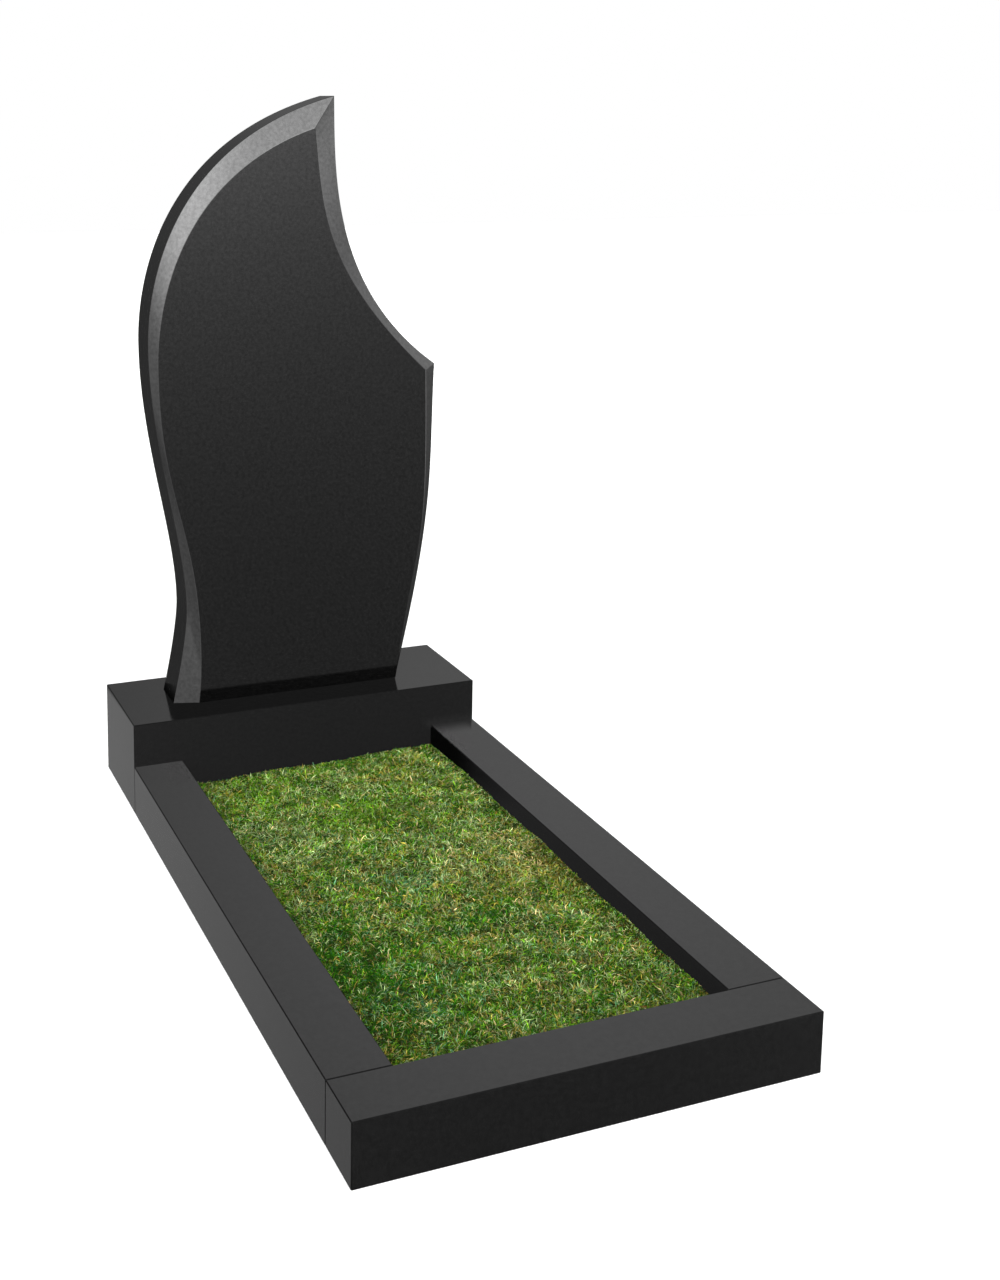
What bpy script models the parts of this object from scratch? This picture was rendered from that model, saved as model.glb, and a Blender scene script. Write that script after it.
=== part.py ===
"""Grave monument of polished black granite, with a kerb frame and a bed of turf.

An upright slab (the stele) with a wave-shaped outline stands on a base block. Two long kerbs and
a foot kerb frame a bed of turf in front of it. Metres, +Z up, the front facing -Y, the origin on
the ground under the middle of the whole monument.
"""

import math

import bmesh
import bpy
from mathutils import Vector, noise

# Base block
PLOT_WIDTH = 0.600
BASE_DEPTH = 0.200
BASE_HEIGHT = 0.150

# Kerbs: the foot kerb is as wide as the plot and lies across the ends of the two long ones
KERB_HEIGHT = 0.080
SIDE_KERB_WIDTH = 0.080
SIDE_KERB_LENGTH = 0.900
FOOT_KERB_DEPTH = 0.080

# Stele: an upright slab, with a chamfer carved round the rim of its front face
STELE_WIDTH = 0.500
STELE_HEIGHT = 1.000
STELE_THICKNESS = 0.080
CHAMFER_DEPTH = 0.012

# Bed of turf inside the kerbs. It climbs to the right, by the rise on either side of its middle,
# and sinks a little where it meets the base.
TURF_LEVEL = 0.044
TURF_RISE = 0.007
TURF_SINK = 0.004
TURF_SINK_REACH = 0.060
TURF_TUFT_SIZE = 0.060
TURF_TUFT_HEIGHT = 0.004
TURF_SWELL_SIZE = 0.210
TURF_SWELL_HEIGHT = 0.003
TURF_GRID_STEP = 0.026

# Fine work: the dulled sharp edges of the blocks and of the stele, and the gap that parts two
# pieces that touch
BLOCK_ARRIS = 0.0012
STELE_ARRIS = 0.0008
JOINT = 0.0003

# Two faces of the stele that meet at more than this form an edge, and less is a round bend
SHARP_ANGLE = math.radians(9)

# Points on each bend of the stele's outline
BEND_POINTS = 16

# The outline's corners and turning points, as shares of the stele's width (from its middle) and
# height. The slab narrows to a waist, swells to a belly and sweeps up to a tip on the right, and
# a hollow bend falls from the tip to a notch.
RIM_SHARES = {
    "foot_left": (-0.431, 0.000),
    "waist": (-0.382, 0.157),
    "belly": (-0.500, 0.602),
    "tip": (0.131, 1.000),
    "notch": (0.500, 0.549),
    "foot_right": (0.367, 0.000),
}

# The rim of the flat face inside the chamfer. The chamfer is widest at the left foot and at the
# tip, and runs out towards the belly and the right foot.
FACE_SHARES = {
    "foot_left": (-0.349, 0.000),
    "waist": (-0.341, 0.068),
    "belly": (-0.474, 0.572),
    "tip": (0.056, 0.948),
    "notch": (0.458, 0.540),
    "foot_right": (0.358, 0.000),
}

# Each bend runs from one named point to the next, with the lean of its curve at either end: the
# two handles, as shares of the width and height, measured from the point that each belongs to
RIM_BEND_SHARES = (
    ("foot_left", (0.030, 0.066), (0.000, -0.030), "waist"),
    ("waist", (0.000, 0.117), (0.000, -0.169), "belly"),
    ("belly", (0.000, 0.091), (-0.567, -0.077), "tip"),
    ("tip", (0.005, -0.123), (-0.383, 0.137), "notch"),
    ("notch", (-0.015, -0.183), (0.148, 0.300), "foot_right"),
)
FACE_BEND_SHARES = (
    ("foot_left", (0.008, 0.030), (0.000, -0.020), "waist"),
    ("waist", (0.000, 0.240), (0.000, -0.236), "belly"),
    ("belly", (0.000, 0.085), (-0.470, -0.077), "tip"),
    ("tip", (0.031, -0.134), (-0.385, 0.182), "notch"),
    ("notch", (0.016, -0.337), (0.083, 0.277), "foot_right"),
)

# Where things lie along the monument, from the foot to the head
TOTAL_LENGTH = FOOT_KERB_DEPTH + JOINT + SIDE_KERB_LENGTH + JOINT + BASE_DEPTH
FOOT_FRONT = -TOTAL_LENGTH / 2
FOOT_BACK = FOOT_FRONT + FOOT_KERB_DEPTH
SIDE_FRONT = FOOT_BACK + JOINT
SIDE_BACK = SIDE_FRONT + SIDE_KERB_LENGTH
BASE_FRONT = SIDE_BACK + JOINT
BASE_BACK = BASE_FRONT + BASE_DEPTH
HALF_WIDTH = PLOT_WIDTH / 2

GRANITE_COLOUR = (0.012, 0.012, 0.012)
GRANITE_ROUGHNESS = 0.2
TURF_COLOUR = (0.075, 0.115, 0.022)
TURF_ROUGHNESS = 0.9


def clear_scene():
    for old in list(bpy.data.objects):
        bpy.data.objects.remove(old, do_unlink=True)


def make_material(name, colour, roughness):
    """A plain material of its own for one piece."""
    material = bpy.data.materials.new(name)
    material.use_nodes = True
    shader = material.node_tree.nodes["Principled BSDF"]
    shader.inputs["Base Color"].default_value = (*colour, 1.0)
    shader.inputs["Roughness"].default_value = roughness
    shader.inputs["Metallic"].default_value = 0.0
    return material


def finish_object(name, bm, material):
    bmesh.ops.recalc_face_normals(bm, faces=bm.faces)
    mesh = bpy.data.meshes.new(name)
    bm.to_mesh(mesh)
    bm.free()
    mesh.materials.append(material)
    piece = bpy.data.objects.new(name, mesh)
    bpy.context.scene.collection.objects.link(piece)
    return piece


def dull_edges(bm, edges, width):
    bmesh.ops.bevel(bm, geom=edges, offset=width, offset_type="OFFSET", affect="EDGES",
                    segments=1, profile=0.5, material=-1, clamp_overlap=True)


def granite(name):
    return make_material(f"{name}_granite", GRANITE_COLOUR, GRANITE_ROUGHNESS)


def block(name, low, high):
    """A sawn and polished block between two corners, its edges dulled by the arris."""
    bm = bmesh.new()
    bmesh.ops.create_cube(bm, size=1.0)
    size = [b - a for a, b in zip(low, high)]
    middle = [(a + b) / 2 for a, b in zip(low, high)]
    bmesh.ops.scale(bm, vec=size, verts=bm.verts)
    dull_edges(bm, bm.edges[:], BLOCK_ARRIS)
    piece = finish_object(name, bm, granite(name))
    piece.location = middle


def bend(start, start_handle, end_handle, end, count):
    """Points on a cubic curve between two points, without the last one."""
    lean_start = start + start_handle
    lean_end = end + end_handle
    points = []
    for step in range(count):
        t = step / count
        s = 1 - t
        points.append(start * s ** 3 + lean_start * 3 * s * s * t
                      + lean_end * 3 * s * t * t + end * t ** 3)
    return points


def outline(corners, bends):
    """The closed outline of the stele from foot to foot, in metres from the middle of its foot."""
    def metres(share):
        return Vector((share[0] * STELE_WIDTH, share[1] * STELE_HEIGHT))

    points = []
    for start, start_handle, end_handle, end in bends:
        points += bend(metres(corners[start]), metres(start_handle),
                       metres(end_handle), metres(corners[end]), BEND_POINTS)
    points.append(metres(corners[bends[-1][3]]))
    return points


def stele():
    """The slab: its rim at the back and behind the chamfer, and the rim of its face in front."""
    depths = (STELE_THICKNESS, CHAMFER_DEPTH, 0.0)
    rim = outline(RIM_SHARES, RIM_BEND_SHARES)
    face = outline(FACE_SHARES, FACE_BEND_SHARES)
    bm = bmesh.new()
    rings = []
    for depth, points in zip(depths, (rim, rim, face)):
        rings.append([bm.verts.new((x, depth - STELE_THICKNESS / 2, z)) for x, z in points])
    for behind, before in zip(rings, rings[1:]):
        for i in range(len(behind) - 1):
            bm.faces.new((behind[i], behind[i + 1], before[i + 1], before[i]))
    bm.faces.new(rings[0])
    bm.faces.new(rings[-1])
    bm.faces.new([ring[0] for ring in rings] + [ring[-1] for ring in reversed(rings)])
    # The angle between two faces is only true once both point outwards
    bmesh.ops.recalc_face_normals(bm, faces=bm.faces)
    sharp = [edge for edge in bm.edges if edge.calc_face_angle() > SHARP_ANGLE]
    dull_edges(bm, sharp, STELE_ARRIS)
    piece = finish_object("stele", bm, granite("stele"))
    piece.location = (0.0, BASE_FRONT + BASE_DEPTH / 2, BASE_HEIGHT + JOINT)


def turf_height(x, y):
    """The uneven top of the turf: tufts, on a wider and lower swell, on the fall of the bed."""
    tuft = noise.noise(Vector((x, y, 0.0)) / TURF_TUFT_SIZE)
    swell = noise.noise(Vector((x, y, 0.0)) / TURF_SWELL_SIZE)
    climb = TURF_RISE * x / (HALF_WIDTH - SIDE_KERB_WIDTH)
    sink = TURF_SINK * math.exp(-((BASE_FRONT - y) / TURF_SINK_REACH) ** 2)
    return TURF_LEVEL + climb - sink + TURF_TUFT_HEIGHT * tuft + TURF_SWELL_HEIGHT * swell


def turf_bed():
    """Earth and turf that fill the kerb frame down to the ground."""
    half_width = HALF_WIDTH - SIDE_KERB_WIDTH - JOINT
    front = FOOT_BACK + JOINT
    back = BASE_FRONT - JOINT
    across = math.ceil(2 * half_width / TURF_GRID_STEP)
    along = math.ceil((back - front) / TURF_GRID_STEP)
    bm = bmesh.new()
    bmesh.ops.create_grid(bm, x_segments=across, y_segments=along, size=0.5)
    bmesh.ops.scale(bm, vec=(2 * half_width, back - front, 1.0), verts=bm.verts)
    bmesh.ops.translate(bm, vec=(0.0, (front + back) / 2, 0.0), verts=bm.verts)
    rim = [edge for edge in bm.edges if edge.is_boundary]
    skirt = bmesh.ops.extrude_edge_only(bm, edges=rim)["geom"]
    ground_verts = [item for item in skirt if isinstance(item, bmesh.types.BMVert)]
    ground_edges = [item for item in skirt if isinstance(item, bmesh.types.BMEdge)]
    ground_edges = [edge for edge in ground_edges if edge.is_boundary]
    bmesh.ops.contextual_create(bm, geom=ground_edges)
    at_ground = set(ground_verts)
    for vert in bm.verts:
        if vert not in at_ground:
            vert.co.z = turf_height(vert.co.x, vert.co.y)
    finish_object("turf_bed", bm, make_material("turf", TURF_COLOUR, TURF_ROUGHNESS))


def build():
    clear_scene()
    inner = HALF_WIDTH - SIDE_KERB_WIDTH
    block("base_block", (-HALF_WIDTH, BASE_FRONT, 0.0), (HALF_WIDTH, BASE_BACK, BASE_HEIGHT))
    block("kerb_foot", (-HALF_WIDTH, FOOT_FRONT, 0.0), (HALF_WIDTH, FOOT_BACK, KERB_HEIGHT))
    block("kerb_left", (-HALF_WIDTH, SIDE_FRONT, 0.0), (-inner, SIDE_BACK, KERB_HEIGHT))
    block("kerb_right", (inner, SIDE_FRONT, 0.0), (HALF_WIDTH, SIDE_BACK, KERB_HEIGHT))
    stele()
    turf_bed()


build()
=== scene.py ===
import math

import bmesh
import bpy
import numpy as np
from mathutils import Matrix, Vector, noise


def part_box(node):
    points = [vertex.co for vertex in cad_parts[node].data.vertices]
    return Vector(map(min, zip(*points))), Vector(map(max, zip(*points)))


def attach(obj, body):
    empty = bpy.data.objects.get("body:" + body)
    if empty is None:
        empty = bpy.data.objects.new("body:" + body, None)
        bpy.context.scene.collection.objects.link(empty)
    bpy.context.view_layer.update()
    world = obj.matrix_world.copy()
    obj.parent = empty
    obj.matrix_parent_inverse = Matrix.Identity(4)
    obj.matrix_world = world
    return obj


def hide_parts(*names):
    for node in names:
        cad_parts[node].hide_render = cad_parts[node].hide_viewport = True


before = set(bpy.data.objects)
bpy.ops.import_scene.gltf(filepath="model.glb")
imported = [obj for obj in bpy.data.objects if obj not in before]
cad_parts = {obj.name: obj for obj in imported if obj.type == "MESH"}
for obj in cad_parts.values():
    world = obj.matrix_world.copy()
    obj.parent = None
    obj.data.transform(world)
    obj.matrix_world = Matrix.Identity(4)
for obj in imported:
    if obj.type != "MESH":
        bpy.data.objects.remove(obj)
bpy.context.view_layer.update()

scene = bpy.context.scene

# A grave monument of polished black granite: an upright slab (the stele) on a base block, and a
# kerb frame round a bed of short turf. Metres; the front faces -Y.

MM = 0.001


# Tools of this script

def linear(hex_colour):
    """An sRGB hex colour as the linear colour that the shaders take."""
    channels = [int(hex_colour[i:i + 2], 16) / 255 for i in (1, 3, 5)]
    low = [c / 12.92 if c <= 0.04045 else ((c + 0.055) / 1.055) ** 2.4 for c in channels]
    return (*low, 1.0)


def add_node(tree, kind, inputs=None, **settings):
    """One node with its settings. Each input is a plain value, or the output that feeds it."""
    node = tree.nodes.new(kind)
    for name, value in settings.items():
        setattr(node, name, value)
    for name, value in (inputs or {}).items():
        if isinstance(value, bpy.types.NodeSocket):
            tree.links.new(value, node.inputs[name])
        else:
            node.inputs[name].default_value = value
    return node


def new_material(name):
    material = bpy.data.materials.new(name)
    material.use_nodes = True
    material.node_tree.nodes.clear()
    return material, material.node_tree


def finish_piece(name, bm, material):
    """The bmesh as an object at the origin, with its place in its mesh."""
    mesh = bpy.data.meshes.new(name)
    bm.to_mesh(mesh)
    bm.free()
    mesh.materials.append(material)
    piece = bpy.data.objects.new(name, mesh)
    scene.collection.objects.link(piece)
    return piece


def heading(azimuth, elevation):
    """A direction from the front (-Y) round towards the left (-X), and up, in degrees."""
    a = math.radians(azimuth)
    e = math.radians(elevation)
    return Vector((-math.sin(a) * math.cos(e), -math.cos(a) * math.cos(e), math.sin(e)))


# Camera: solved from the corners of the blocks and the outline of the slab. The photo's own
# framing would need a larger shift, which would cut the object in the other views.

FOCAL_PIXELS = 1614.2
PHOTO_HEIGHT_PIXELS = 1280
CAMERA_PLACE = (-0.8578, -2.0363, 1.1392)
CAMERA_YAW = math.radians(21.241)
CAMERA_PITCH = math.radians(9.057)
CAMERA_ROLL = math.radians(0.364)
LENS_SHIFT = (0.109375, -0.21875)
SENSOR_WIDTH_MM = 36.0


def make_camera():
    data = bpy.data.cameras.new("camera")
    data.sensor_width = SENSOR_WIDTH_MM
    data.lens = FOCAL_PIXELS * SENSOR_WIDTH_MM / PHOTO_HEIGHT_PIXELS
    data.shift_x, data.shift_y = LENS_SHIFT
    data.clip_start = 0.01
    camera = bpy.data.objects.new("camera", data)
    turn = (Matrix.Rotation(-CAMERA_YAW, 4, "Z")
            @ Matrix.Rotation(math.pi / 2 - CAMERA_PITCH, 4, "X")
            @ Matrix.Rotation(CAMERA_ROLL, 4, "Z"))
    camera.matrix_world = Matrix.Translation(CAMERA_PLACE) @ turn
    scene.collection.objects.link(camera)
    scene.camera = camera


# Studio: a dim room with soft glows round it, which the polished stone mirrors. Each glow has a
# heading (azimuth from the front towards the left, elevation), a brightness and a tightness.

ROOM_BRIGHTNESS = 0.065
GLOWS = {
    "key window": (29.4, 29.1, 10.31, 8.9),
    "front window": (-13.9, 19.8, 6.88, 29.9),
    "left wall": (82.5, 0.2, 1.71, 4.9),
    "right wall": (-69.1, 29.1, 2.58, 4.9),
    "back card": (-153.1, 32.0, 0.64, 21.4),
    "back ceiling": (143.3, 35.6, 0.65, 14.2),
    "low left card": (22.8, -34.8, 1.79, 17.7),
    "low right card": (-56.1, -10.0, 5.35, 63.0),
}
BACKDROP_COLOUR = "#ffffff"
FLOOR_COLOUR = "#f2f2f2"
FLOOR_GLOW = 0.25
FLOOR_SIZE = 24.0


def make_studio():
    world = bpy.data.worlds.new("studio")
    world.use_nodes = True
    tree = world.node_tree
    tree.nodes.clear()
    scene.world = world
    direction = add_node(tree, "ShaderNodeTexCoord").outputs["Generated"]
    total = None
    for azimuth, elevation, brightness, tightness in GLOWS.values():
        closeness = add_node(tree, "ShaderNodeVectorMath", {0: direction, 1: heading(azimuth, elevation)},
                             operation="DOT_PRODUCT").outputs["Value"]
        fall = add_node(tree, "ShaderNodeMath", {0: closeness, 1: tightness, 2: -tightness},
                        operation="MULTIPLY_ADD").outputs[0]
        glow = add_node(tree, "ShaderNodeMath", {0: fall}, operation="EXPONENT").outputs[0]
        below = ROOM_BRIGHTNESS if total is None else total
        total = add_node(tree, "ShaderNodeMath", {0: glow, 1: brightness, 2: below},
                         operation="MULTIPLY_ADD").outputs[0]
    room = add_node(tree, "ShaderNodeBackground", {"Strength": total}).outputs[0]
    backdrop = add_node(tree, "ShaderNodeBackground",
                        {"Color": linear(BACKDROP_COLOUR), "Strength": 1.0}).outputs[0]
    seen = add_node(tree, "ShaderNodeLightPath").outputs["Is Camera Ray"]
    mixed = add_node(tree, "ShaderNodeMixShader", {0: seen, 1: room, 2: backdrop}).outputs[0]
    add_node(tree, "ShaderNodeOutputWorld", {"Surface": mixed})
    scene.view_settings.view_transform = "Standard"
    scene.view_settings.look = "None"


def make_floor():
    material, tree = new_material("pale_studio_paper")
    paper = add_node(tree, "ShaderNodeBsdfPrincipled", {
        "Base Color": linear(FLOOR_COLOUR), "Roughness": 1.0, "Specular IOR Level": 0.0,
        "Emission Color": linear(BACKDROP_COLOUR), "Emission Strength": FLOOR_GLOW}).outputs[0]
    add_node(tree, "ShaderNodeOutputMaterial", {"Surface": paper})
    bm = bmesh.new()
    bmesh.ops.create_grid(bm, x_segments=1, y_segments=1, size=FLOOR_SIZE / 2)
    floor = finish_piece("floor", bm, material)
    floor.visible_glossy = False


# Mirror cards: the photo's stones mirror a dim floor, a dim bed and only what stands within a hand
# of them, so these stage pieces are seen by mirrored rays alone, in place of the real things

# A brightness that changes along the monument has two places on it, and its value at each
FLOOR_BRIGHTNESS = (-0.60, 0.60, 0.27, 0.35)
BED_BRIGHTNESS = (0.10, 0.24, 0.10, 0.034)
BASE_BRIGHTNESS = 0.0
BASE_FRONT_BRIGHTNESS = 0.12
STELE_BRIGHTNESS = 0.035

# A fade has the lengths of the mirrored ray at which the card starts to go and is gone
FLOOR_FADE = (0.41, 0.45)
NEAR_FLOOR_FADE = (0.23, 0.27)
BED_FADE = (0.07, 0.10)
BASE_FRONT_FADE = (0.0, 0.065)
BASE_FOOT_FADE = (0.11, 0.38)
BASE_TOP_FADE = (0.070, 0.150)
BASE_CORNER_FADE = (0.0, 0.17)
STELE_FADE = (0.110, 0.170)

# Strips of the floor beside the blocks: their reach across and along, and their fade. On the
# right the base's front faces the near strip and mirrors nothing of it.
FLOOR_STRIPS = {
    "left": ((-0.45, -0.302), (-0.60, 1.0), FLOOR_FADE),
    "right": ((0.302, 0.45), (0.19, 1.0), FLOOR_FADE),
    "near": ((0.302, 0.45), (-0.60, 0.19), NEAR_FLOOR_FADE),
}
FLOOR_STRIP_HEIGHTS = (-0.010, -0.004)

# Strips of the bed beside the long kerbs: their reach across and along
BED_STRIPS = {"left": (-0.2195, -0.19), "right": (0.19, 0.2195)}
BED_STRIP_ENDS = (-0.58, 0.24)
BED_STRIP_DEPTH = 14 * MM

# The parts of the base. The left chamfer of the stele mirrors no base, so the base's cards leave
# out what it faces, from the foot of that chamfer to its back.
CHAMFER_FOOT = -0.172
CHAMFER_BACK = 0.4623
BASE_TOP_DEPTH = 8 * MM
BASE_FOOT_LOW = -0.12
CARD_GAP = 4 * MM
CARD_STEP = 1 * MM
MIRROR_SHRINK = 2 * MM


def make_mirror_card(name, bm, brightness, fade):
    """A glowing piece of the stage that only mirrored rays see, and only near the stone."""
    material, tree = new_material(name)
    if isinstance(brightness, tuple):
        start, end, first, last = brightness
        place = add_node(tree, "ShaderNodeTexCoord").outputs["Object"]
        along = add_node(tree, "ShaderNodeSeparateXYZ", {0: place}).outputs["Y"]
        brightness = add_node(tree, "ShaderNodeMapRange", {
            0: along, 1: start, 2: end, 3: first, 4: last}).outputs[0]
    shine = add_node(tree, "ShaderNodeEmission", {"Strength": brightness}).outputs[0]
    length = add_node(tree, "ShaderNodeLightPath").outputs["Ray Length"]
    faded = add_node(tree, "ShaderNodeMapRange", {0: length, 1: fade[0], 2: fade[1]},
                     interpolation_type="SMOOTHSTEP").outputs[0]
    clear = add_node(tree, "ShaderNodeBsdfTransparent").outputs[0]
    fading = add_node(tree, "ShaderNodeMixShader", {0: faded, 1: shine, 2: clear}).outputs[0]
    add_node(tree, "ShaderNodeOutputMaterial", {"Surface": fading})
    # It lies just inside the real stone, so the stone's own surface doesn't mirror it
    bm.normal_update()
    for vert in bm.verts:
        vert.co -= vert.normal * MIRROR_SHRINK
    card = finish_piece(name, bm, material)
    card.visible_camera = False
    card.visible_diffuse = False
    card.visible_transmission = False
    card.visible_shadow = False


def slab(low, high):
    """A box between two corners."""
    bm = bmesh.new()
    bmesh.ops.create_cube(bm, size=1.0)
    bmesh.ops.scale(bm, vec=[b - a for a, b in zip(low, high)], verts=bm.verts)
    bmesh.ops.translate(bm, vec=[(a + b) / 2 for a, b in zip(low, high)], verts=bm.verts)
    return bm


def make_mirror_cards():
    low_floor, top_floor = FLOOR_STRIP_HEIGHTS
    for side, (across, along, fade) in FLOOR_STRIPS.items():
        strip = slab((across[0], along[0], low_floor), (across[1], along[1], top_floor))
        make_mirror_card(f"mirror_card_floor_{side}", strip, FLOOR_BRIGHTNESS, fade)
    # The inner faces of the long kerbs mirror the strips of the bed, which end before the base
    for side, rise in (("left", -TURF_RISE), ("right", TURF_RISE)):
        left, right = BED_STRIPS[side]
        top = TURF_LEVEL + rise
        strip = slab((left, BED_STRIP_ENDS[0], top - BED_STRIP_DEPTH), (right, BED_STRIP_ENDS[1], top))
        make_mirror_card(f"mirror_card_bed_{side}", strip, BED_BRIGHTNESS, BED_FADE)
    low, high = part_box("base_block")
    top = high[2] - BASE_TOP_DEPTH
    base = slab((CHAMFER_FOOT, low[1], low[2]), (high[0], high[1], top - CARD_GAP))
    make_mirror_card("mirror_card_base", base, BASE_FRONT_BRIGHTNESS, BASE_FRONT_FADE)
    # Near the base the inner faces of the long kerbs mirror only its foot. This card lies just
    # before the last one, and goes on downwards because the real bed, which hides the rest of the
    # foot, isn't mirrored.
    kerb_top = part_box("kerb_left")[1][2]
    foot = slab((CHAMFER_FOOT, low[1] - CARD_STEP, BASE_FOOT_LOW),
                (high[0], high[1], kerb_top - CARD_GAP))
    make_mirror_card("mirror_card_base_foot", foot, BASE_BRIGHTNESS, BASE_FOOT_FADE)
    base_top = slab((CHAMFER_FOOT, low[1], top), high)
    make_mirror_card("mirror_card_base_top", base_top, BASE_BRIGHTNESS, BASE_TOP_FADE)
    corner = slab((low[0], CHAMFER_BACK, top), (CHAMFER_FOOT, high[1], high[2]))
    make_mirror_card("mirror_card_base_corner", corner, BASE_BRIGHTNESS, BASE_CORNER_FADE)
    make_mirror_card("mirror_card_stele", stele_shape(), STELE_BRIGHTNESS, STELE_FADE)


# Stele: the solid's outline repeated with finer bends

STELE_WIDTH = 0.500
STELE_HEIGHT = 1.000
STELE_THICKNESS = 0.080
CHAMFER_DEPTH = 0.012
STELE_MIDDLE = (0.0, 0.4903, 0.1503)
ARRIS = 0.8 * MM
SHARP_ANGLE = math.radians(9)
BEND_POINTS = 64

RIM_SHARES = {
    "foot_left": (-0.431, 0.000),
    "waist": (-0.382, 0.157),
    "belly": (-0.500, 0.602),
    "tip": (0.131, 1.000),
    "notch": (0.500, 0.549),
    "foot_right": (0.367, 0.000),
}
FACE_SHARES = {
    "foot_left": (-0.349, 0.000),
    "waist": (-0.341, 0.068),
    "belly": (-0.474, 0.572),
    "tip": (0.056, 0.948),
    "notch": (0.458, 0.540),
    "foot_right": (0.358, 0.000),
}
RIM_BEND_SHARES = (
    ("foot_left", (0.030, 0.066), (0.000, -0.030), "waist"),
    ("waist", (0.000, 0.117), (0.000, -0.169), "belly"),
    ("belly", (0.000, 0.091), (-0.567, -0.077), "tip"),
    ("tip", (0.005, -0.123), (-0.383, 0.137), "notch"),
    ("notch", (-0.015, -0.183), (0.148, 0.300), "foot_right"),
)
FACE_BEND_SHARES = (
    ("foot_left", (0.008, 0.030), (0.000, -0.020), "waist"),
    ("waist", (0.000, 0.240), (0.000, -0.236), "belly"),
    ("belly", (0.000, 0.085), (-0.470, -0.077), "tip"),
    ("tip", (0.031, -0.134), (-0.385, 0.182), "notch"),
    ("notch", (0.016, -0.337), (0.083, 0.277), "foot_right"),
)


def outline(corners, bends):
    """The closed outline of the stele, as cubic curves from foot to foot."""
    size = np.array((STELE_WIDTH, STELE_HEIGHT))
    t = (np.arange(BEND_POINTS) / BEND_POINTS)[:, None]
    s = 1 - t
    points = []
    for start, start_handle, end_handle, end in bends:
        a = np.array(corners[start]) * size
        d = np.array(corners[end]) * size
        b = a + np.array(start_handle) * size
        c = d + np.array(end_handle) * size
        points.extend(a * s ** 3 + b * 3 * s * s * t + c * 3 * s * t * t + d * t ** 3)
    points.append(np.array(corners[bends[-1][3]]) * size)
    return points


def stele_shape():
    """The slab without its dulled edges: a rim at the back and behind the chamfer, and the rim of
    its face in front."""
    bm = bmesh.new()
    rim = outline(RIM_SHARES, RIM_BEND_SHARES)
    face = outline(FACE_SHARES, FACE_BEND_SHARES)
    rings = []
    for depth, points in ((STELE_THICKNESS, rim), (CHAMFER_DEPTH, rim), (0.0, face)):
        rings.append([bm.verts.new((x, depth - STELE_THICKNESS / 2, z)) for x, z in points])
    for behind, before in zip(rings, rings[1:]):
        for i in range(len(behind) - 1):
            bm.faces.new((behind[i], behind[i + 1], before[i + 1], before[i]))
    bm.faces.new(rings[0])
    bm.faces.new(rings[-1])
    bm.faces.new([ring[0] for ring in rings] + [ring[-1] for ring in reversed(rings)])
    bmesh.ops.recalc_face_normals(bm, faces=bm.faces)
    bmesh.ops.translate(bm, vec=STELE_MIDDLE, verts=bm.verts)
    return bm


def make_stele(granite):
    bm = stele_shape()
    sharp = [edge for edge in bm.edges if edge.calc_face_angle() > SHARP_ANGLE]
    bmesh.ops.bevel(bm, geom=sharp, offset=ARRIS, offset_type="OFFSET", affect="EDGES",
                    segments=3, profile=0.5, material=-1, clamp_overlap=True)
    for face in bm.faces:
        face.smooth = True
    stele = finish_piece("stele_polished", bm, granite)
    even = stele.modifiers.new("even_shading", "WEIGHTED_NORMAL")
    even.mode = "FACE_AREA"
    even.weight = 100
    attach(stele, "root")
    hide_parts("stele")
    return stele


# Granite

GRAIN_SIZE = 5.5 * MM
GRANITE_ROUGHNESS = 0.10
GRANITE_IOR = 1.6
GROUND_EDGE_POLISH = 0.15


def make_granite(name, dark_crystal, pale_crystal, uneven_polish, ground_edges):
    """Black granite, sawn and polished: a near-black stone that mirrors like dark water, faintly
    mottled by its grey crystals. The real crystals are about a millimetre wide, and the mottling
    starts at a few of them so that it doesn't turn to noise."""
    material, tree = new_material(name)
    place = add_node(tree, "ShaderNodeTexCoord").outputs["Object"]
    grain = add_node(tree, "ShaderNodeTexNoise", {
        "Vector": place, "Scale": 1 / GRAIN_SIZE, "Detail": 3.0, "Roughness": 0.6}).outputs[0]
    crystal = add_node(tree, "ShaderNodeMapRange", {0: grain, 1: 0.3, 2: 0.7}).outputs[0]
    tone = add_node(tree, "ShaderNodeMix",
                    {0: crystal, 6: linear(dark_crystal), 7: linear(pale_crystal)},
                    data_type="RGBA").outputs[2]
    polish = add_node(tree, "ShaderNodeMapRange",
                      {0: crystal, 3: 0.5 - uneven_polish, 4: 0.5 + uneven_polish}).outputs[0]
    if ground_edges:
        # The dulled edges of the blocks are ground but not polished, so they mirror little and
        # show as thin dark lines. They are the only faces that lie askew.
        normal = add_node(tree, "ShaderNodeNewGeometry").outputs["True Normal"]
        squares = add_node(tree, "ShaderNodeVectorMath", {0: normal, 1: normal},
                           operation="MULTIPLY").outputs[0]
        straightness = add_node(tree, "ShaderNodeVectorMath", {0: squares, 1: squares},
                                operation="DOT_PRODUCT").outputs["Value"]
        straight = add_node(tree, "ShaderNodeMapRange",
                            {0: straightness, 1: 0.5, 2: 1.0, 3: GROUND_EDGE_POLISH, 4: 1.0}).outputs[0]
        polish = add_node(tree, "ShaderNodeMath", {0: polish, 1: straight},
                          operation="MULTIPLY").outputs[0]
    shader = add_node(tree, "ShaderNodeBsdfPrincipled", {
        "Base Color": tone, "Roughness": GRANITE_ROUGHNESS, "IOR": GRANITE_IOR,
        "Specular IOR Level": polish}).outputs[0]
    add_node(tree, "ShaderNodeOutputMaterial", {"Surface": shader})
    return material


# Turf: short mown grass. The blades stand in tufts of a few millimetres, and every tuft draws the
# tints of its blades from a mixture that changes from patch to patch.

# Where the grass may stand, just inside the kerbs
BED_LOW = (-0.2192, -0.5095)
BED_HIGH = (0.2192, 0.3895)

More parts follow.
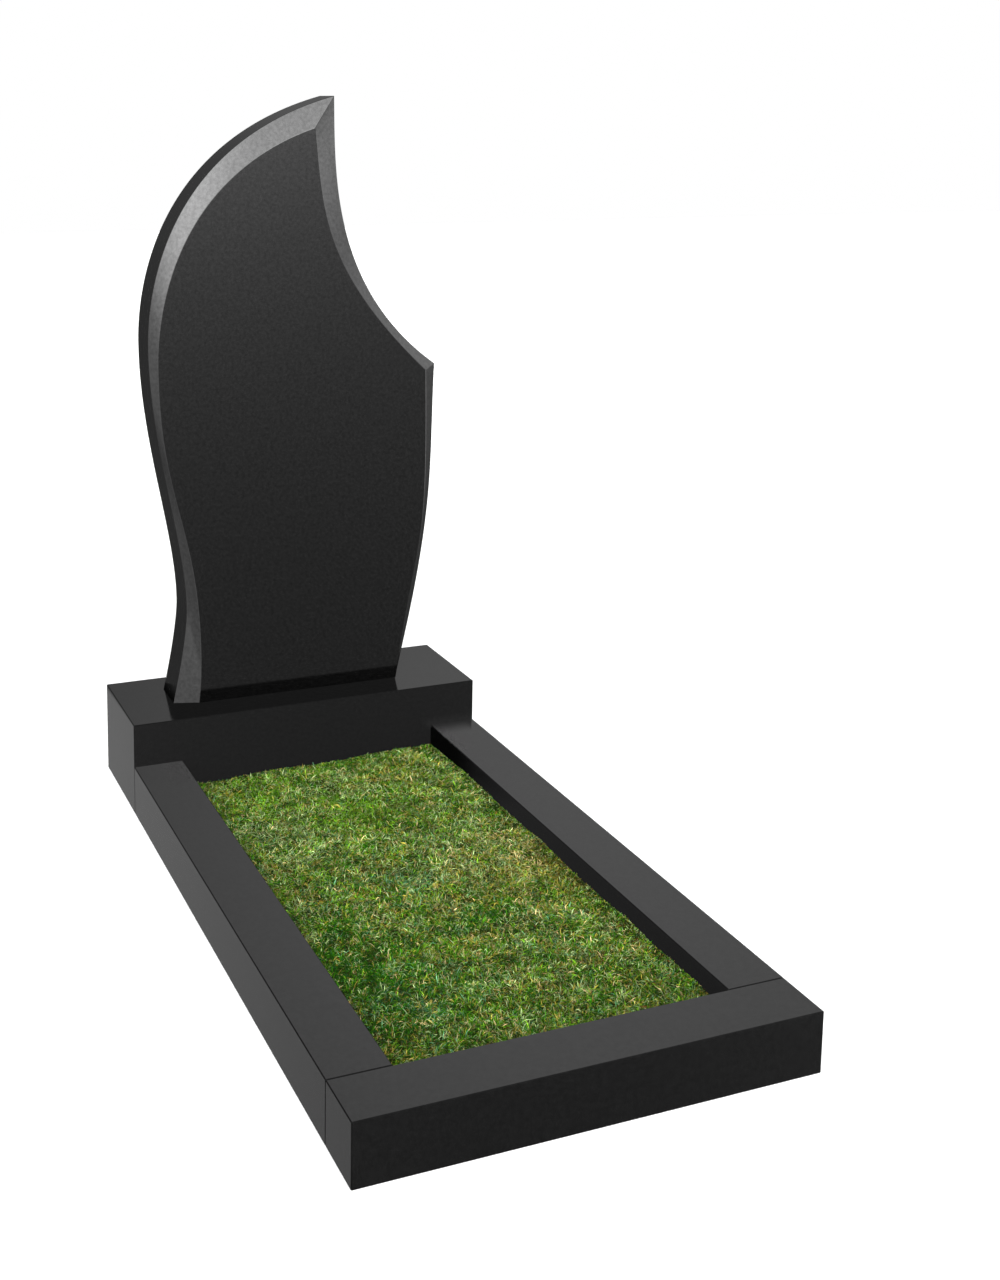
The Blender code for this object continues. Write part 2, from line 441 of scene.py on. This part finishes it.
# The top of the bed, as its solid has it
BED_HALF_WIDTH = 0.220
BED_BACK = 0.3903
TURF_LEVEL = 0.044
TURF_RISE = 0.007
TURF_SINK = 0.004
TURF_SINK_REACH = 0.060
TURF_TUFT_SIZE = 0.060
TURF_TUFT_HEIGHT = 0.004
TURF_SWELL_SIZE = 0.210
TURF_SWELL_HEIGHT = 0.003

TUFT_SPACING = 5.4 * MM
TUFT_REACH = 4.5 * MM
BLADES_PER_TUFT = 22
GRASS_PIECES = 5

# How the turf changes from place to place: the size of each pattern, and its strength
KIND_PATCH = (0.045, 1.0)
KIND_CLUMP = (0.014, 1.4)
DEEP_CLUMP = (0.026, 1.2)
VIGOUR_PATCH = (0.035, 0.25)
VIGOUR_CLUMP = (0.015, 0.50)
LIGHTNESS_CLUMP = (0.016, 0.50)
LIGHTNESS_PATCH = (0.060, 0.36)
COMBING_PATCH = (0.018, 2.5)
MOWN_EDGE = 25 * MM

# The least, commonest and greatest length and width of a blade, and its lean in degrees
BLADE_LENGTH = (3.5 * MM, 6.5 * MM, 12 * MM)
BLADE_WIDTH = (0.4 * MM, 0.6 * MM, 1.2 * MM)
BLADE_LEAN = (0, 22, 80)
BLADE_BOW = (10, 100)
BLADE_ROLL = 35
BROAD_SHARE = 0.02
BROAD_WIDTH = 2.5
COMBED_SHARE = 0.35
COMBED_SCATTER = 0.7
ROOT_DEPTH = 2 * MM
ROOT_SPREAD = 2.5 * MM
# The height over which the painted shade deep in the turf lifts
PILE_HEIGHT = 7.5 * MM

# Scatter of the lightness, as the spread of its logarithm: from tuft to tuft and blade to blade
TUFT_LIGHTNESS = (0.11, 0.15)
BLADE_LIGHTNESS = (0.0, 0.28)

# Each kind of blade: its tint, and its share of the turf
BLADE_KINDS = {
    "deep": ("#367010", 0.28),
    "fresh": ("#76a42c", 0.26),
    # The pale blades are partly pale leaves of their own and partly painted sheen: the pale shine of lit
    # waxy blades, put into their tint
    "pale": ("#abbf8a", 0.17),
    "blue": ("#5e8e68", 0.07),
    "olive": ("#a69a48", 0.14),
    "straw": ("#d8c290", 0.05),
    "brown": ("#7a5530", 0.03),
}

# Patches where one kind of blade is commoner: its kind, its middle, its radius and its strength
PATCHES = (
    ("olive", (0.16, -0.08), 0.110, 1.6),
    ("straw", (0.16, -0.06), 0.100, 1.6),
    ("pale", (0.12, -0.02), 0.110, 0.9),
    ("olive", (0.11, 0.29), 0.055, 1.3),
    ("fresh", (0.00, 0.17), 0.075, 1.6),
    ("fresh", (-0.11, 0.30), 0.085, 1.1),
    ("pale", (-0.12, 0.14), 0.085, 1.2),
    ("pale", (0.00, 0.26), 0.055, 1.0),
    ("blue", (-0.01, -0.06), 0.055, 1.6),
    ("blue", (-0.12, -0.34), 0.080, 1.9),
    ("deep", (-0.16, -0.22), 0.090, 1.9),
    ("deep", (-0.13, -0.36), 0.100, 1.0),
    ("deep", (0.05, -0.18), 0.035, 2.0),
    ("deep", (0.05, 0.36), 0.045, 1.4),
)


CRUMB_SIZE = 6 * MM


def make_soil():
    """Earth and thatch: matte crumbs of a very dark green brown, which show between the blades."""
    material, tree = new_material("earth_and_thatch")
    place = add_node(tree, "ShaderNodeTexCoord").outputs["Object"]
    crumbs = add_node(tree, "ShaderNodeTexNoise",
                      {"Vector": place, "Scale": 1 / CRUMB_SIZE, "Detail": 4.0}).outputs[0]
    tone = add_node(tree, "ShaderNodeMix", {0: crumbs, 6: linear("#0e1603"), 7: linear("#2a340c")},
                    data_type="RGBA").outputs[2]
    shader = add_node(tree, "ShaderNodeBsdfPrincipled", {
        "Base Color": tone, "Roughness": 0.9, "IOR": 1.4, "Specular IOR Level": 0.1}).outputs[0]
    add_node(tree, "ShaderNodeOutputMaterial", {"Surface": shader})
    return material


def make_grass():
    """Living and dry blades of lawn grass: soft waxy leaves, each with a tint of its own, which also
    holds painted shade deep in the turf and, on the pale blades, painted sheen.
    """
    material, tree = new_material("lawn_grass_blades")
    tint = add_node(tree, "ShaderNodeAttribute", attribute_name="blade_tint_and_painted_shade").outputs["Color"]
    shader = add_node(tree, "ShaderNodeBsdfPrincipled", {
        "Base Color": tint, "Roughness": 0.5, "IOR": 1.4, "Specular IOR Level": 0.06}).outputs[0]
    add_node(tree, "ShaderNodeOutputMaterial", {"Surface": shader})
    return material


def blade_prototype():
    """One flat blade of length 1 and width 1 along +Y, with a pointed tip."""
    bm = bmesh.new()
    bmesh.ops.create_grid(bm, x_segments=1, y_segments=2, size=0.5)
    bmesh.ops.translate(bm, vec=(0.0, 0.5, 0.0), verts=bm.verts)
    tip = [vert for vert in bm.verts if vert.co.y > 0.99]
    bmesh.ops.pointmerge(bm, verts=tip, merge_co=(0.0, 1.0, 0.0))
    bm.verts.ensure_lookup_table()
    points = np.array([vert.co for vert in bm.verts])
    bmesh.ops.triangulate(bm, faces=bm.faces)
    faces = np.array([[vert.index for vert in face.verts] for face in bm.faces])
    bm.free()
    return points, faces


def wave(x, y, size, lift=0.0):
    """Soft noise between about -1 and 1, with bumps of the given size. Each lift above the bed
    gives another pattern."""
    return np.array([noise.noise(Vector((a / size, b / size, lift))) for a, b in zip(x, y)])


def pattern(x, y, size_and_strength, lift):
    size, strength = size_and_strength
    return strength * wave(x, y, size, lift)


def turf_height(x, y):
    """The top of the bed's solid, which climbs to the right and sinks a little by the base."""
    climb = TURF_RISE * x / BED_HALF_WIDTH
    sink = TURF_SINK * np.exp(-((BED_BACK - y) / TURF_SINK_REACH) ** 2)
    return (TURF_LEVEL + climb - sink + TURF_TUFT_HEIGHT * wave(x, y, TURF_TUFT_SIZE)
            + TURF_SWELL_HEIGHT * wave(x, y, TURF_SWELL_SIZE))


def make_tufts(rng):
    """Where the tufts stand, the share of each kind of blade in them, and their vigour."""
    across = np.arange(BED_LOW[0], BED_HIGH[0], TUFT_SPACING)
    along = np.arange(BED_LOW[1], BED_HIGH[1], TUFT_SPACING)
    x, y = (grid.ravel() for grid in np.meshgrid(across, along))
    x = x + rng.uniform(0, 1.3 * TUFT_SPACING, len(x))
    y = y + rng.uniform(0, 1.3 * TUFT_SPACING, len(y))
    order = rng.permutation(len(x))
    x, y = x[order], y[order]
    shares = []
    for number, (kind, (colour, share)) in enumerate(BLADE_KINDS.items()):
        gain = pattern(x, y, KIND_PATCH, 5.0 * number) + pattern(x, y, KIND_CLUMP, 3.1 * number)
        if kind == "deep":
            gain = gain + pattern(x, y, DEEP_CLUMP, 90.0)
        for patch_kind, middle, radius, strength in PATCHES:
            if patch_kind == kind:
                away = ((x - middle[0]) ** 2 + (y - middle[1]) ** 2) / radius ** 2
                gain = gain + strength * np.exp(-away)
        shares.append(share * np.exp(gain))
    shares = np.stack(shares, axis=1)
    shares = np.cumsum(shares / shares.sum(axis=1, keepdims=True), axis=1)
    vigour = 1.0 + pattern(x, y, VIGOUR_PATCH, 40.0) + pattern(x, y, VIGOUR_CLUMP, 50.0)
    lightness = np.exp(pattern(x, y, LIGHTNESS_CLUMP, 60.0) + pattern(x, y, LIGHTNESS_PATCH, 70.0)
                       + rng.normal(*TUFT_LIGHTNESS, len(x)))
    combing = pattern(x, y, COMBING_PATCH, 80.0)
    # The turf is cut shorter along the kerbs
    to_edge = np.minimum.reduce([x - BED_LOW[0], BED_HIGH[0] - x, y - BED_LOW[1], BED_HIGH[1] - y])
    vigour = vigour * (0.5 + 0.5 * np.clip(to_edge / MOWN_EDGE, 0, 1))
    return x, y, shares, vigour, lightness, combing


def make_blades(name, material, rng, tufts):
    """One piece of grass: fans of short mown blades that lean out of their tufts."""
    points, faces = blade_prototype()
    x, y, shares, vigour, lightness, combing = (np.repeat(values, BLADES_PER_TUFT, axis=0)
                                                for values in tufts)
    count = len(x)
    turn = rng.uniform(0, 2 * math.pi, count)
    reach = rng.uniform(0, 1, count) ** 0.5 * TUFT_REACH
    x = np.clip(x + reach * np.cos(turn), BED_LOW[0] + MM, BED_HIGH[0] - MM)
    y = np.clip(y + reach * np.sin(turn), BED_LOW[1] + MM, BED_HIGH[1] - MM)
    # Some blades fan out of their tuft, and the others lie the way that the turf is combed there
    combed = rng.random(count) < COMBED_SHARE
    turn = np.where(combed, 2 * combing, turn) + rng.normal(0, COMBED_SCATTER, count)
    length = rng.triangular(*BLADE_LENGTH, count) * vigour
    width = rng.triangular(*BLADE_WIDTH, count)
    broad = rng.random(count) < BROAD_SHARE
    width = np.where(broad, width * BROAD_WIDTH, width)
    lean = np.radians(rng.triangular(*BLADE_LEAN, count))
    bow = np.radians(rng.uniform(*BLADE_BOW, count))
    roll = np.radians(rng.normal(0, BLADE_ROLL, count))
    ground = turf_height(x, y) - ROOT_DEPTH
    z = ground + rng.uniform(0, ROOT_SPREAD, count)
    share = points[:, 1][None, :]
    half = points[:, 0][None, :]
    # The blade's spine climbs at its lean and bows over towards its tip
    angle = lean[:, None] - bow[:, None] * share * 0.5
    along = length[:, None] * share * np.cos(angle)
    up = length[:, None] * share * np.sin(angle)
    across = width[:, None] * half * (1 - 0.25 * share)
    side = across * np.cos(roll[:, None])
    px = x[:, None] + along * np.cos(turn[:, None]) - side * np.sin(turn[:, None])
    py = y[:, None] + along * np.sin(turn[:, None]) + side * np.cos(turn[:, None])
    pz = z[:, None] + up + across * np.sin(roll[:, None])
    px = np.clip(px, BED_LOW[0], BED_HIGH[0])
    py = np.clip(py, BED_LOW[1], BED_HIGH[1])
    places = np.stack((px, py, pz), axis=2).reshape(-1, 3)
    corners = (faces[None] + (np.arange(count) * len(points))[:, None, None]).reshape(-1, 3)
    mesh = bpy.data.meshes.new(name)
    mesh.from_pydata(places, [], corners)
    tints = np.array([linear(colour)[:3] for colour, share in BLADE_KINDS.values()])
    kind = (shares < rng.random(count)[:, None]).sum(axis=1).clip(0, len(tints) - 1)
    tint = tints[kind] * (lightness * np.exp(rng.normal(*BLADE_LIGHTNESS, count)))[:, None]
    # Painted shade: a blade is darker and fuller in colour towards its root and deep in the turf, where
    # the blades above shade it
    depth = np.clip((pz - ground[:, None]) / PILE_HEIGHT, 0, 1)[:, :, None]
    tint = tint[:, None, :] ** (1.5 - 0.5 * depth) * (0.3 + 0.7 * depth)
    tint = np.concatenate((tint, np.ones((count, len(points), 1))), axis=2)
    # The tints of the blades, painted shade included, on every corner
    layer = mesh.color_attributes.new("blade_tint_and_painted_shade", "FLOAT_COLOR", "POINT")
    layer.data.foreach_set("color", tint.ravel())
    mesh.materials.append(material)
    blades = bpy.data.objects.new(name, mesh)
    scene.collection.objects.link(blades)
    blades.visible_glossy = False
    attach(blades, "root")


make_camera()
make_studio()
make_floor()
stele = make_stele(make_granite("polished_black_granite", "#040404", "#0a0a0a", 0.09, False))
stele.visible_glossy = False
make_mirror_cards()
granite = make_granite("polished_black_granite_with_ground_edges", "#050505", "#0a0a0a", 0.04, True)
for node_name in ("base_block", "kerb_left", "kerb_right", "kerb_foot"):
    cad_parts[node_name].data.materials.clear()
    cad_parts[node_name].data.materials.append(granite)
    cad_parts[node_name].visible_glossy = False
soil = make_soil()
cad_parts["turf_bed"].data.materials.clear()
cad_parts["turf_bed"].data.materials.append(soil)
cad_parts["turf_bed"].visible_glossy = False
grass = make_grass()
rng = np.random.default_rng(7)
tufts = make_tufts(rng)
for number in range(GRASS_PIECES):
    share = [values[number::GRASS_PIECES] for values in tufts]
    make_blades(f"grass_blades_{number + 1}", grass, rng, share)
